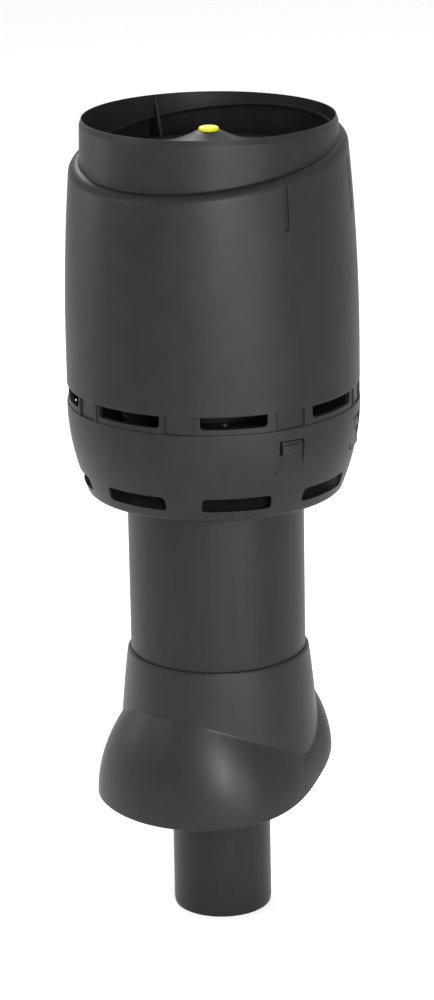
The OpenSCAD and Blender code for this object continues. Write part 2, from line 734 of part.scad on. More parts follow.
module rain_cone() color(shell_black) rotate_extrude() polygon(concat(
    [[head_hole_r, head_seat_z], [head_hole_r, cone_top]],
    [for (k = [0:cone_rows]) let (r = boss_r + (cone_r - boss_r)*k/cone_rows) [r, cone_z(r)]],
    [[cone_r + cone_lip_out, cone_rim_z - rim_edge_h], [cone_r + cone_lip_out, under_rim_z],
     [cone_r + cone_lip_out - cone_wall, under_rim_z]],
    [for (k = [cone_rows:-1:1]) let (r = boss_r + (cone_r - cone_wall - boss_r)*k/cone_rows)
        [r, cone_z(r) - cone_wall]],
    [[boss_r, cone_z(boss_r) - 3*cone_wall], [boss_r, head_seat_z - boss_h],
     [screw_r + screw_gap, head_seat_z - boss_h], [screw_r + screw_gap, head_seat_z]]));

// Height of the underside's outer face at radius r, a round-bottomed drop
function drop_z(r) = drop_bottom + (under_rim_z - drop_bottom)*pow(r/under_flat_r, 1/under_power);

module cone_underside() color(shell_black) rotate_extrude() polygon(concat(
    [[screw_r + screw_gap, drop_bottom], [hub_r/2 + screw_r/2, drop_bottom]],
    [for (k = [1:cone_rows]) let (r = hub_r + (under_flat_r - hub_r)*k/cone_rows) [r, drop_z(r)]],
    [[under_rim_r, under_rim_z], [under_rim_r, under_rim_z + cone_wall]],
    [for (k = [cone_rows:-1:1]) let (r = hub_r + (under_flat_r - inner_grow - hub_r)*k/cone_rows)
        [r, drop_z(r) + cone_wall + inner_grow]],
    [[hub_r, drop_z(hub_r) + cone_wall], [hub_r, under_hub_top], [screw_r + screw_gap, under_hub_top]]));

module cone_screw() color(steel) difference() {
    union() {
        translate([0, 0, head_seat_z + seat_gap/2]) cylinder(r = head_r, h = head_h);
        translate([0, 0, drop_bottom - nut_h - screw_end])
            cylinder(r = screw_r, h = head_seat_z + head_h/2 - drop_bottom + nut_h + screw_end);
    }
    translate([0, 0, head_seat_z + head_h/2]) cylinder(d = hex_key, h = head_h, $fn = 6);
}

module cone_nut() color(steel) translate([0, 0, drop_bottom - nut_h - seat_gap/2]) difference() {
    cylinder(d = nut_af/cos(30), h = nut_h, $fn = 6);
    translate([0, 0, -over]) cylinder(r = screw_r + screw_gap/2, h = nut_h + 2*over);
}

module cone_plug() color(plug_yellow) rotate_extrude() polygon(concat([[0, cone_top + plug_t]],
    [for (k = [0:corner_steps]) let (a = 90*k/corner_steps)
        [plug_d/2 - plug_round*(1 - sin(a)), cone_top + plug_t - plug_round*(1 - cos(a))]],
    [[plug_d/2, cone_top + seat_gap], [head_hole_r - seat_gap, cone_top + seat_gap],
     [head_hole_r - 2*seat_gap, cone_top - plug_stem_h],
     [head_hole_r - plug_stem_t, cone_top - plug_stem_h],
     [head_hole_r - plug_stem_t, cone_top + plug_hollow], [0, cone_top + plug_hollow]]));

drain_pipe();
insulation();
outer_pipe();
end_ring();
storm_collar();
collar_seal();
drain_bowl();
hub_seal();
pipe_screws();
exhaust_nozzle();
nozzle_seal();
flange_screws();
hat_shell();
mouth_ring();
cone_fins();
rain_cone();
cone_underside();
cone_screw();
cone_nut();
cone_plug();
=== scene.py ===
import math
import bmesh
import bpy
import numpy as np
from mathutils import Matrix, Vector


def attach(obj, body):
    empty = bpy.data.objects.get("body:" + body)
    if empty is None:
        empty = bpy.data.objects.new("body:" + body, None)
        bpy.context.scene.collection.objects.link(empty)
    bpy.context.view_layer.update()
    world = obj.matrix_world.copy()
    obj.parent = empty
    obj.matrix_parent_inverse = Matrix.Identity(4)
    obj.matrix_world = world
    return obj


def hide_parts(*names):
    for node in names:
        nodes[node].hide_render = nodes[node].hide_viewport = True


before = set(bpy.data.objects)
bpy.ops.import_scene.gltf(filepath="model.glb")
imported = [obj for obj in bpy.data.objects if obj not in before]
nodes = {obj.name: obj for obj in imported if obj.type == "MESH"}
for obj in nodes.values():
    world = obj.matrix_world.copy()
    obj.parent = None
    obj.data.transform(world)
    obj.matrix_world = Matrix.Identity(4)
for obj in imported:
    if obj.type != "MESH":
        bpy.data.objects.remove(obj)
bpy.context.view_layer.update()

# Sizes are in millimetres, as in the part's source, and meshes are made in metres. Bearings run from the
# low side, -Y, and are positive towards +X. Angles are in degrees unless a name is set with radians().
MM = 0.001

# Camera: it stands at the photograph's bearing. Distances are in metres, and turns in radians.
CAM_BEARING = math.radians(36.0)
CAM_DISTANCE, CAM_HEIGHT = 3.5951, 1.6123
CAM_PITCH, CAM_ROLL, CAM_YAW = 0.3063, -0.0188, 0.0004
CAM_LENS, CAM_SENSOR = 123.48, 36.0

# Edges that bend more than this stay sharp: on small pieces, on smooth skins and on the bowl
SMALL_SHARP, SKIN_SHARP, BOWL_SHARP = 32.0, 40.0, 28.0
SKIN_STEPS = 288

# Pipes: EDGE rounds their ends, and straight sides start and end SIDE from them
EDGE, SIDE = 0.6, 0.8
DRAIN_R, DRAIN_IN_R, DRAIN_TOP = 55.0, 51.8, 602.0
SPIGOT_CHAMFER, SPIGOT_CHAMFER_LEN, SPIGOT_TIP, CHAMFER_ROUND = 0.9, 6.0, 0.8, 8.0
BEAD_R, BEAD_LOW, BEAD_TOP = 58.0, 146.8, 151.8
OUTER_R, OUTER_IN_R, OUTER_LOW, OUTER_TOP = 97.0, 94.0, 152.0, 575.0

# Storm collar. The crease rises to the front and to the back, and CREASE_SOFT rounds the change between
# them. The rim's nose ends and its tail starts at the bearing RIM_SIDE, each over its own fade.
COLLAR_TOP, COLLAR_TOP_R, COLLAR_ROUND, COLLAR_WALL = 309.0, 100.2, 2.1, 2.4
SLEEVE_FLARE, SLEEVE_POWER, SLEEVE_END = 11.5, 0.8, 2.2
CREASE_Z, CREASE_FRONT, CREASE_BACK, CREASE_BEND, CREASE_SOFT = 196.5, 58.0, 66.0, 1.5, 0.03
RIM_Z, RIM_RISE, RIM_SWEEP, RIM_SWEEP_POWER = 139.5, 22.0, 60.0, 3.6
RIM_R, RIM_NOSE, RIM_TAIL, RIM_SIDE, NOSE_FADE, TAIL_FADE = 118.5, 22.5, 7.0, 100.0, 66.0, 30.0
RIM_LIFT, RIM_FLAT, RIM_START = 0.9, 0.75, 1.0
COLLAR_LIP_GAP, COLLAR_LIP, COLLAR_LIP_SLOPE = 0.25, 3.0, 3.2
SKIRT_ROWS, SKIRT_SPREAD, SLEEVE_ROWS, SLEEVE_SPREAD = 41, 1.15, 31, 1.3

# Drain bowl. BARS gives the width of the bar between two upper slots at each bearing.
BOWL_LOW, FOOT_R, BOWL_R, CURVE_Z, BOWL_TOP = 495.0, 139.0, 159.4, 590.0, 595.5
BOWL_WALL, BOWL_POWER, PANEL_R, PLATE_R = 3.0, 1.9, 157.0, 158.0
BOWL_START, BOWL_EDGE, BAND_EDGE, NARROW_Z, NARROW_H = 1.6, 0.9, 0.3, 584.0, 6.0
BOWL_IN_LOW, FLOOR_EDGE_Z, FLOOR_Z = 503.0, 499.5, 514.0
SPIGOT_R, SPIGOT_TOP = 155.8, 627.0
SOCKET_IN_R, SOCKET_OUT_R, SOCKET_LOW = 97.25, 100.25, 507.0
HUB_TOP, HUB_BORE_R = 578.0, 59.0
SLOT_LOW, DRAIN_SLOT_W, DRAIN_SLOT_Z, DRAIN_SLOT_H, SLOT_CORNER = 601.5, 74.5, 507.0, 15.5, 4.5
BARS = {22.5: 45.0, 67.0: 57.0, 113.0: 57.0, 157.5: 45.0, 202.5: 45.0, 247.0: 57.0, 293.0: 57.0, 337.5: 45.0}
PANEL_W, RIB_W, RIB_R, RIB_SIDE = 34.0, 2.0, 159.3, 0.03
WINDOW_W, WINDOW_LOW, WINDOW_H, WINDOW_CORNER, RECESS_LEN, RECESS_WALL = 31.0, 567.0, 16.0, 0.6, 19.0, 2.4
LATCHES = (67.0, 113.0, -113.0, -67.0)

# How far in each cutter for the bowl starts, how far out all of them end, and the steps of a round corner
SLOT_CUT_R, DRAIN_CUT_R, WINDOW_CUT_R, CUT_END_R, CUT_PAST, CORNER_STEPS = 145.0, 127.0, 147.4, 175.0, 0.02, 6

# Hat shell. Rows lie close above FINE_Z, and columns close within GROOVE_REACH of a groove.
SHELL_LOW, SHELL_R, SHELL_CURVE_Z, SHELL_CURVE_R, SHELL_WALL = 615.0, 159.2, 650.0, 2350.0, 3.0
SHOULDER_Z, SHOULDER_TILT, SHOULDER_ROUND, HOLE_R, HOLE_EDGE = 871.3, math.radians(9.8), 11.0, 134.0, 0.4
GROOVE_LOW, GROOVE_TOP, GROOVE_W, GROOVE_DEPTH, GROOVE_SLOPE = 807.0, 862.0, 6.4, 2.3, 0.5
FINE_Z, GROOVE_REACH, GROOVE_STEP, GROOVE_CLEAR = 790.0, 1.7, 0.1, 1.9

# Snap tongues: a stem inside the bowl, a root in the shell's wall and a stepped hook in each window
TONGUE_W, TONGUE_T, TONGUE_OUT_R, TONGUE_LOW, TONGUE_TOP = 24.0, 2.7, 151.9, 567.5, 645.2
ROOT_LOW, ROOT_R = 629.2, 157.0
HOOK_R, HOOK_SHIFT, HOOK_TOP, HOOK_IN = 157.6, 1.4, 581.0, 1.0
HOOK_STEP, HOOK_STEP_W, HOOK_STEP_TOP = 1.2, 3.6, 577.6

# Mouth ring, rain cone and plug
MOUTH_TOP, RING_R, RING_DRAW, RING_IN_R, LIP_H, LIP_R = 904.0, 139.0, 1.0, 135.0, 6.0, 136.2
RING_FILLET, LIP_TURN, CROWN_ROUND = 1.3, 2.0, 0.62
CONE_R, CONE_RIM_Z, CONE_TOP, CONE_WALL, CONE_LIP_H, CONE_LIP_OUT = 118.0, 861.0, 887.5, 2.5, 9.0, 1.5
BOSS_R, BOSS_H, PLUG_HOLE_R, PLUG_HOLE_H, SCREW_HOLE_R = 13.0, 13.5, 8.5, 7.5, 4.1
PLUG_R, PLUG_T, PLUG_ROUND, PLUG_SKIRT_R, PLUG_SKIRT_IN_R, PLUG_SKIRT_LOW = 11.0, 4.5, 2.6, 7.9, 6.9, 1.2

# Nozzle
NOZZLE_R, NOZZLE_TOP, NOZZLE_WALL, NOZZLE_START, BELL_MIX = 101.0, 775.0, 2.5, 604.0, 0.15
NOZZLE_BORE_R, FLANGE_R, FLANGE_T, SEAL_R, SEAL_LOW, SEAL_TOP = 55.2, 82.0, 3.0, 58.0, 585.0, 591.0
NECK_R, NECK_TOP, NECK_END_R, NECK_END = 60.5, 593.0, 57.7, 596.0

# Studio floor: half its width in metres
FLOOR_HALF = 12.0


def smooth(t):
    c = np.clip(t, 0.0, 1.0)
    return c * c * (3.0 - 2.0 * c)


def arc(x, z, r, a0, a1, steps):
    """Points of a round edge about (x, z)."""
    a = np.radians(np.linspace(a0, a1, steps + 1))
    return np.stack([x + r * np.cos(a), z + r * np.sin(a)], -1)


def line(p, q, steps):
    t = np.linspace(0.0, 1.0, steps + 1)[:, None]
    return np.array(p, float) * (1 - t) + np.array(q, float) * t


def wrapped(b):
    """A bearing brought to -180 to 180."""
    return (b + 180.0) % 360.0 - 180.0


def shade(mesh, sharp):
    mesh.polygons.foreach_set("use_smooth", [True] * len(mesh.polygons))
    mesh.set_sharp_from_angle(angle=math.radians(sharp))


def add_object(name, data):
    ob = bpy.data.objects.new(name, data)
    bpy.context.scene.collection.objects.link(ob)
    return ob


def loft(name, bearings, profiles, sharp):
    """A closed skin: profiles[column][row] = (r, z) at each bearing. The rows run up the outside and down
    the inside, and close on themselves, as the columns do."""
    profiles = np.asarray(profiles, float)
    b = np.radians(np.asarray(bearings, float))[:, None]
    r, z = profiles[..., 0], profiles[..., 1]
    pts = np.stack([r * np.sin(b), -r * np.cos(b), z], -1) * MM
    n, m = r.shape
    index = np.arange(n * m).reshape(n, m)
    right, up = np.roll(index, -1, 0), np.roll(index, -1, 1)
    diag = np.roll(right, -1, 1)
    faces = np.stack([index, right, diag, up], -1).reshape(-1, 4)
    mesh = bpy.data.meshes.new(name)
    mesh.from_pydata([tuple(v) for v in pts.reshape(-1, 3)], [], faces.tolist())
    mesh.validate()
    shade(mesh, sharp)
    return add_object(name, mesh)


def loft_round(name, profile_at):
    """A skin whose profile changes evenly round the axis."""
    bearings = wrapped(np.arange(SKIN_STEPS) * 360.0 / SKIN_STEPS)
    return loft(name, bearings, [profile_at(b) for b in bearings], SKIN_SHARP)


def revolve(name, profile, steps):
    profile = np.vstack([np.atleast_2d(p) for p in profile])
    bearings = np.arange(steps) * 360.0 / steps
    return loft(name, bearings, np.repeat(profile[None], steps, 0), SMALL_SHARP)


def finish_piece(ob, material, node):
    ob.data.materials.clear()
    ob.data.materials.append(material)
    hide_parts(node)
    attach(ob, "root")


# ------------------------------------------------------------------ camera and light
def make_camera():
    data = bpy.data.cameras.new("camera")
    data.lens = CAM_LENS
    data.sensor_width = CAM_SENSOR
    data.clip_start, data.clip_end = 0.05, 100.0
    cam = add_object("camera", data)
    forward = Vector((0.0, math.cos(CAM_PITCH), -math.sin(CAM_PITCH)))
    up = Vector((0.0, math.sin(CAM_PITCH), math.cos(CAM_PITCH)))
    right = Vector((1.0, 0.0, 0.0))
    yaw = Matrix.Rotation(-CAM_YAW, 3, "Z")
    forward, up, right = yaw @ forward, yaw @ up, yaw @ right
    c, s = math.cos(CAM_ROLL), math.sin(CAM_ROLL)
    x_axis = right * c + up * s
    y_axis = up * c - right * s
    turn = Matrix((x_axis, y_axis, -forward)).transposed().to_4x4()
    place = Matrix.Translation((0.0, -CAM_DISTANCE, CAM_HEIGHT)) @ turn
    cam.matrix_world = Matrix.Rotation(CAM_BEARING, 4, "Z") @ place
    bpy.context.scene.camera = cam


def area_light(name, bearing, height, distance, size, power, aim):
    """A soft rectangular lamp, in metres and watts. Its bearing counts from the camera's, and is positive to
    the right."""
    data = bpy.data.lights.new(name, "AREA")
    data.shape = "RECTANGLE"
    data.size, data.size_y = size
    data.energy = power
    lamp = add_object(name, data)
    b = CAM_BEARING + math.radians(bearing)
    lamp.location = (distance * math.sin(b), -distance * math.cos(b), height)
    lamp.rotation_mode = "QUATERNION"
    way = Vector(aim) - Vector(lamp.location)
    lamp.rotation_quaternion = way.to_track_quat("-Z", "Y")


# ------------------------------------------------------------------ materials
def plastic(name, dark, light, rough, rough_spread, grain, grain_size, specular=0.5, streak=(1.0, 1.0, 1.0),
            edge=0.0):
    """Moulded or drawn plastic: a faint mottle in colour and gloss, and a fine grain. The streak stretches
    the mottle. The grain's size and the radius of soft edges are in metres."""
    mat = bpy.data.materials.new(name)
    mat.use_nodes = True
    tree = mat.node_tree
    add = tree.nodes.new
    link = tree.links.new
    bsdf = tree.nodes["Principled BSDF"]
    bsdf.inputs["Specular IOR Level"].default_value = specular
    coord = add("ShaderNodeTexCoord")
    stretch = add("ShaderNodeMapping")
    stretch.inputs["Scale"].default_value = streak
    link(coord.outputs["Object"], stretch.inputs["Vector"])

    mottle = add("ShaderNodeTexNoise")
    mottle.inputs["Scale"].default_value = 38.0
    mottle.inputs["Detail"].default_value = 6.0
    mottle.inputs["Roughness"].default_value = 0.62
    link(stretch.outputs["Vector"], mottle.inputs["Vector"])
    colour = add("ShaderNodeValToRGB")
    colour.color_ramp.elements[0].position = 0.32
    colour.color_ramp.elements[0].color = (*dark, 1.0)
    colour.color_ramp.elements[1].position = 0.7
    colour.color_ramp.elements[1].color = (*light, 1.0)
    link(mottle.outputs["Fac"], colour.inputs["Fac"])
    link(colour.outputs["Color"], bsdf.inputs["Base Color"])

    patches = add("ShaderNodeTexNoise")
    patches.inputs["Scale"].default_value = 9.0
    patches.inputs["Detail"].default_value = 5.0
    link(stretch.outputs["Vector"], patches.inputs["Vector"])
    gloss = add("ShaderNodeMapRange")
    gloss.inputs["From Min"].default_value = 0.3
    gloss.inputs["From Max"].default_value = 0.7
    gloss.inputs["To Min"].default_value = rough - rough_spread
    gloss.inputs["To Max"].default_value = rough + rough_spread
    link(patches.outputs["Fac"], gloss.inputs["Value"])
    link(gloss.outputs["Result"], bsdf.inputs["Roughness"])

    fine = add("ShaderNodeTexNoise")
    fine.inputs["Scale"].default_value = 1.0 / grain_size
    fine.inputs["Detail"].default_value = 2.0
    link(coord.outputs["Object"], fine.inputs["Vector"])
    bump = add("ShaderNodeBump")
    bump.inputs["Strength"].default_value = grain
    bump.inputs["Distance"].default_value = 0.00012
    link(fine.outputs["Fac"], bump.inputs["Height"])
    if edge:
        rounded = add("ShaderNodeBevel")
        rounded.samples = 6
        rounded.inputs["Radius"].default_value = edge
        link(rounded.outputs["Normal"], bump.inputs["Normal"])
    link(bump.outputs["Normal"], bsdf.inputs["Normal"])
    return mat


def grey(v, tint=1.0):
    return (v, v, v * tint)


COOL = 1.04
hat_black = plastic("hat_plastic", grey(0.0074, COOL), grey(0.0102, COOL), rough=0.46, rough_spread=0.03,
                    grain=0.35, grain_size=0.0009, specular=0.175, edge=0.00025)
pipe_black = plastic("pipe_plastic", grey(0.0074, COOL), grey(0.0100, COOL), rough=0.45, rough_spread=0.03,
                     grain=0.12, grain_size=0.0006, specular=0.18, streak=(3.0, 3.0, 0.25))
collar_black = plastic("collar_plastic", grey(0.0074, COOL), grey(0.0100, COOL), rough=0.43, rough_spread=0.03,
                       grain=0.30, grain_size=0.0009, specular=0.22)
rubber = plastic("seal_rubber", grey(0.012), grey(0.02), rough=0.62, rough_spread=0.05,
                 grain=0.4, grain_size=0.0005, specular=0.35)
foam = plastic("foam", (0.42, 0.41, 0.38), (0.62, 0.61, 0.58), rough=0.95, rough_spread=0.03,
               grain=1.0, grain_size=0.004, specular=0.2)
steel = plastic("screw_steel", (0.46, 0.47, 0.48), (0.62, 0.63, 0.64), rough=0.3, rough_spread=0.06,
                grain=0.15, grain_size=0.0004)
steel.node_tree.nodes["Principled BSDF"].inputs["Metallic"].default_value = 1.0
screw_black = plastic("screw_black", grey(0.012), grey(0.02), rough=0.4, rough_spread=0.05,
                      grain=0.1, grain_size=0.0004, specular=0.4)
yellow = plastic("plug_plastic", (0.66, 0.62, 0.004), (0.76, 0.72, 0.008), rough=0.34, rough_spread=0.04,
                 grain=0.2, grain_size=0.0006)

NODE_FINISH = {
    "drain_pipe": pipe_black, "outer_pipe": pipe_black, "insulation": foam, "end_ring": hat_black,
    "storm_collar": collar_black, "collar_seal": rubber, "drain_bowl": hat_black, "hub_seal": rubber,
    "pipe_screws": screw_black, "exhaust_nozzle": hat_black, "nozzle_seal": rubber, "flange_screws": screw_black,
    "hat_shell": hat_black, "mouth_ring": hat_black, "cone_fins": hat_black, "rain_cone": hat_black,
    "cone_underside": hat_black, "cone_screw": steel, "cone_nut": steel, "cone_plug": yellow,
}
for name, material in NODE_FINISH.items():
    nodes[name].data.materials.clear()
    nodes[name].data.materials.append(material)


# ------------------------------------------------------------------ pipes
drain_profile = [
    arc(DRAIN_IN_R + EDGE, EDGE, EDGE, 180, 270, 3),
    arc(DRAIN_R - SPIGOT_CHAMFER - SPIGOT_TIP, SPIGOT_TIP, SPIGOT_TIP, 270, 350, 4),
    arc(DRAIN_R - CHAMFER_ROUND, SPIGOT_CHAMFER_LEN + 1, CHAMFER_ROUND, -9, 0, 4),
    line((DRAIN_R, SPIGOT_CHAMFER_LEN + 2), (DRAIN_R, BEAD_LOW - 0.4), 8),
    (DRAIN_R + 0.4, BEAD_LOW), (BEAD_R - EDGE, BEAD_LOW),
    arc(BEAD_R - EDGE, BEAD_LOW + EDGE, EDGE, 280, 360, 3),
    arc(BEAD_R - EDGE, BEAD_TOP - EDGE, EDGE, 0, 90, 3), (DRAIN_R + 0.3, BEAD_TOP),
    line((DRAIN_R, BEAD_TOP + 0.3), (DRAIN_R, DRAIN_TOP - SIDE), 8),
    arc(DRAIN_R - EDGE, DRAIN_TOP - EDGE, EDGE, 0, 90, 3),
    arc(DRAIN_IN_R + EDGE, DRAIN_TOP - EDGE, EDGE, 90, 180, 3),
    line((DRAIN_IN_R, DRAIN_TOP - SIDE), (DRAIN_IN_R, SIDE), 12),
]
finish_piece(revolve("drain_pipe_skin", drain_profile, 192), pipe_black, "drain_pipe")

outer_profile = [
    arc(OUTER_R - EDGE, OUTER_LOW + EDGE, EDGE, 270, 360, 3),
    line((OUTER_R, OUTER_LOW + SIDE), (OUTER_R, OUTER_TOP - SIDE), 12),
    arc(OUTER_R - EDGE, OUTER_TOP - EDGE, EDGE, 0, 90, 3),
    arc(OUTER_IN_R + EDGE, OUTER_TOP - EDGE, EDGE, 90, 180, 3),
    line((OUTER_IN_R, OUTER_TOP - SIDE), (OUTER_IN_R, OUTER_LOW + SIDE), 12),
    arc(OUTER_IN_R + EDGE, OUTER_LOW + EDGE, EDGE, 180, 270, 3),
]
finish_piece(revolve("outer_pipe_skin", outer_profile, SKIN_STEPS), pipe_black, "outer_pipe")


# ------------------------------------------------------------------ storm collar
def sleeve_r(z):
    down = np.maximum(0.0, COLLAR_TOP - z) / (COLLAR_TOP - CREASE_Z)
    return COLLAR_TOP_R + SLEEVE_FLARE * down ** SLEEVE_POWER


def collar_profile(b):
    """Round the rim, up the skirt's and the sleeve's outside, over the top edge, and down the inside."""
    c = math.cos(math.radians(b))
    bend = math.sqrt(c * c + CREASE_SOFT ** 2)
    front, back = (bend + c) / 2, (bend - c) / 2
    zc = CREASE_Z + CREASE_FRONT * front + CREASE_BACK * back ** CREASE_BEND
    q = (1 - c) / 2
    zr = RIM_Z + RIM_RISE * q + RIM_SWEEP * q ** RIM_SWEEP_POWER
    nose, tail = (RIM_SIDE - abs(b)) / NOSE_FADE, (abs(b) - RIM_SIDE) / TAIL_FADE
    rr = RIM_R + RIM_NOSE * float(smooth(nose)) + RIM_TAIL * float(smooth(tail))
    rc = float(sleeve_r(zc))
    u = np.linspace(1.0, 0.0, SKIRT_ROWS) ** SKIRT_SPREAD
    skirt = np.stack([rc + (rr - rc) * u * (2 - u), zc - (zc - zr) * u], -1)
    t = np.linspace(0.0, 1.0, SLEEVE_ROWS)[1:] ** SLEEVE_SPREAD
    z = zc + (COLLAR_TOP - SLEEVE_END - zc) * t
    outside = np.vstack([skirt, np.stack([sleeve_r(z), z], -1)])
    # The crease is the skirt's last row: it and the rows beside it are softened a little
    first, end = SKIRT_ROWS - 2, SKIRT_ROWS + 1
    mean = (outside[first - 1:end - 1] + outside[first + 1:end + 1]) / 2
    outside[first:end] = (outside[first:end] + mean) / 2
    inside = outside[::-1].copy()
    inside[:, 0] -= COLLAR_WALL
    inside = inside[2:-1]
    top = arc(COLLAR_TOP_R - COLLAR_ROUND, COLLAR_TOP - COLLAR_ROUND, COLLAR_ROUND, 6, 90, 7)
    lip_r = OUTER_R + COLLAR_LIP_GAP
    lip = [(lip_r, COLLAR_TOP), (lip_r, COLLAR_TOP - COLLAR_LIP),
           (COLLAR_TOP_R - COLLAR_WALL, COLLAR_TOP - COLLAR_LIP_SLOPE)]
    rim = arc(rr - COLLAR_WALL / 2, zr + RIM_LIFT, COLLAR_WALL / 2, 180, 360, 6)
    rim[:, 1] = zr + RIM_LIFT + (rim[:, 1] - zr - RIM_LIFT) * RIM_FLAT
    outside[0, 1] += RIM_START
    inside[-1, 1] += RIM_START
    return np.vstack([rim, outside[1:], top, lip, inside])


collar = loft_round("storm_collar_skin", collar_profile)
finish_piece(collar, collar_black, "storm_collar")


# ------------------------------------------------------------------ hat shell
def shell_r(z):
    return SHELL_R - np.maximum(0.0, z - SHELL_CURVE_Z) ** 2 / (2 * SHELL_CURVE_R)


def slope_at(b):
    """How far the shoulder falls for each millimetre outward at a bearing."""
    return math.cos(math.radians(b)) * math.tan(SHOULDER_TILT)


def shoulder_arc(b, inset, steps):
    """The round edge between the side wall and the shoulder at a bearing, from the wall to the shoulder, for
    the outer face or one that lies inset below it."""
    k = slope_at(b)
    radius = SHOULDER_ROUND - inset
    drop = math.sqrt(1 + k * k)
    x, z, lean = SHELL_R - SHOULDER_ROUND, SHOULDER_Z - SHOULDER_ROUND, 0.0
    for _ in range(8):
        z = SHOULDER_Z - k * x - (radius + inset) * drop
        lean = math.atan((z + radius * math.sin(lean) - SHELL_CURVE_Z) / SHELL_CURVE_R)
        x = float(shell_r(z + radius * math.sin(lean))) - (radius + inset) * math.cos(lean)
    return arc(x, z, radius, math.degrees(lean), 90 - math.degrees(math.atan(k)), steps)


def shell_profile(b):
    """The profile at a bearing, and the slice of its rows that a groove can cut."""
    k = slope_at(b)
    foot = np.array([(SHELL_R - 0.9, SHELL_LOW), (SHELL_R - 0.35, SHELL_LOW + 0.12), (SHELL_R, SHELL_LOW + 0.8)])
    edge = shoulder_arc(b, 0.0, 14)
    zo = np.concatenate([np.linspace(SHELL_LOW + 2, FINE_Z, 26), np.linspace(FINE_Z, edge[0, 1], 57)[1:-1]])
    side = np.stack([shell_r(zo), zo], -1)
    top_z = SHOULDER_Z - k * HOLE_R
    top = line(edge[-1], (HOLE_R + HOLE_EDGE, top_z - k * HOLE_EDGE), 5)[1:]
    hole = [(HOLE_R, top_z - HOLE_EDGE), (HOLE_R, top_z - SHELL_WALL + 0.2)]
    under = shoulder_arc(b, SHELL_WALL, 8)[::-1]
    roof = line((HOLE_R, top_z - SHELL_WALL * math.sqrt(1 + k * k)), under[0], 5)[:-1]
    zi = np.linspace(under[-1, 1], SHELL_LOW + 1, 24)[1:]
    wall = np.stack([shell_r(zi) - SHELL_WALL, zi], -1)
    end = [(SHELL_R - SHELL_WALL, SHELL_LOW)]
    face = slice(len(foot), len(foot) + len(side) + len(edge))
    return np.vstack([foot, side, edge, top, hole, roof, under, wall, end]), face


def cut_groove(b, profile, face):
    """Sinks the groove above the nearest latch into the profile at a bearing."""
    nearest = min(LATCHES, key=lambda g: abs(wrapped(b - g)))
    side = np.radians(wrapped(b - nearest)) * profile[face, 0]
    mid = np.clip(profile[face, 1], GROOVE_LOW + GROOVE_W / 2, GROOVE_TOP - GROOVE_W / 2)
    depth_in = GROOVE_W / 2 - np.hypot(side, profile[face, 1] - mid)
    profile[face, 0] -= GROOVE_DEPTH * smooth(depth_in / GROOVE_SLOPE + 0.2)
    return profile


coarse = [b for b in wrapped(np.arange(0, 360, 1.5)) if min(abs(wrapped(b - g)) for g in LATCHES) > GROOVE_CLEAR]
fine = [g + np.arange(-GROOVE_REACH, GROOVE_REACH + 0.01, GROOVE_STEP) for g in LATCHES]
bearings = np.unique(np.round(np.concatenate([coarse, *fine]), 3))
shell = loft("hat_shell_skin", bearings, [cut_groove(b, *shell_profile(b)) for b in bearings], SKIN_SHARP)


def rounded_box(bm, low, high, turn, round_by):
    """A block between two corners, turned about the axis to a bearing, with rounded edges."""
    made = bmesh.ops.create_cube(bm, size=1.0)["verts"]
    low, high = Vector(low), Vector(high)
    for v in made:
        v.co = Vector([(low[i] + high[i]) / 2 + v.co[i] * (high[i] - low[i]) for i in range(3)])
    edges = {e for v in made for e in v.link_edges}
    if round_by:
        out = bmesh.ops.bevel(bm, geom=list(edges), offset=round_by, segments=2, profile=0.5, affect="EDGES")
        made = {v for f in out["faces"] for v in f.verts} | {v for v in made if v.is_valid}
    spin = Matrix.Rotation(math.radians(turn - 90), 4, "Z")
    for v in made:
        v.co = spin @ v.co * MM


def mesh_of(name, bm):
    mesh = bpy.data.meshes.new(name)
    bm.to_mesh(mesh)
    bm.free()
    shade(mesh, SMALL_SHARP)
    return add_object(name, mesh)


bm = bmesh.new()
half, stem_r, hook_in_r = TONGUE_W / 2, TONGUE_OUT_R - TONGUE_T, TONGUE_OUT_R - HOOK_IN
hook_start, hook_end = HOOK_SHIFT - half, HOOK_SHIFT + half
for b in LATCHES:
    rounded_box(bm, (stem_r, -half, TONGUE_LOW), (TONGUE_OUT_R, half, TONGUE_TOP), b, 0.4)
    rounded_box(bm, (stem_r, -half, ROOT_LOW), (ROOT_R, half, TONGUE_TOP), b, 0.4)
    rounded_box(bm, (hook_in_r, hook_start, TONGUE_LOW), (HOOK_R - HOOK_STEP, hook_end, HOOK_TOP), b, 0.6)
    rounded_box(bm, (hook_in_r, hook_start, TONGUE_LOW), (HOOK_R, hook_end - HOOK_STEP_W, HOOK_STEP_TOP), b, 0.7)
finish_piece(mesh_of("hat_tongues", bm), hat_black, "hat_shell")
finish_piece(shell, hat_black, "hat_shell")


# ------------------------------------------------------------------ mouth ring
def ring_profile(b):
    """Up the outside from the shoulder, over the bevelled lip, and down the inside."""
    k = slope_at(b)
    foot, lip_z = SHOULDER_Z - k * RING_R, MOUTH_TOP - LIP_H - 0.8
    curl = arc(RING_R + RING_FILLET, foot + RING_FILLET, RING_FILLET, 270, 180, 5)
    curl[:, 1] -= k * (curl[:, 0] - RING_R)
    side = line((RING_R, foot + RING_FILLET + 0.6), (RING_R - RING_DRAW, lip_z), 8)
    turn_in = arc(RING_R - RING_DRAW - LIP_TURN, lip_z, LIP_TURN, 0, 18, 3)[1:]
    lip = line(turn_in[-1], (LIP_R, MOUTH_TOP - 1.2), 4)[1:]
    crown = arc(RING_IN_R + 0.55, MOUTH_TOP - 0.65, CROWN_ROUND, 60, 180, 5)
    inner_low = SHOULDER_Z - k * RING_IN_R
    inner = line((RING_IN_R, MOUTH_TOP - 1.0), (RING_IN_R, inner_low + 0.2), 10)
    end = [(RING_IN_R, inner_low + 0.02)]
    return np.vstack([curl, side, turn_in, lip, crown, inner, end])


finish_piece(loft_round("mouth_ring_skin", ring_profile), hat_black, "mouth_ring")


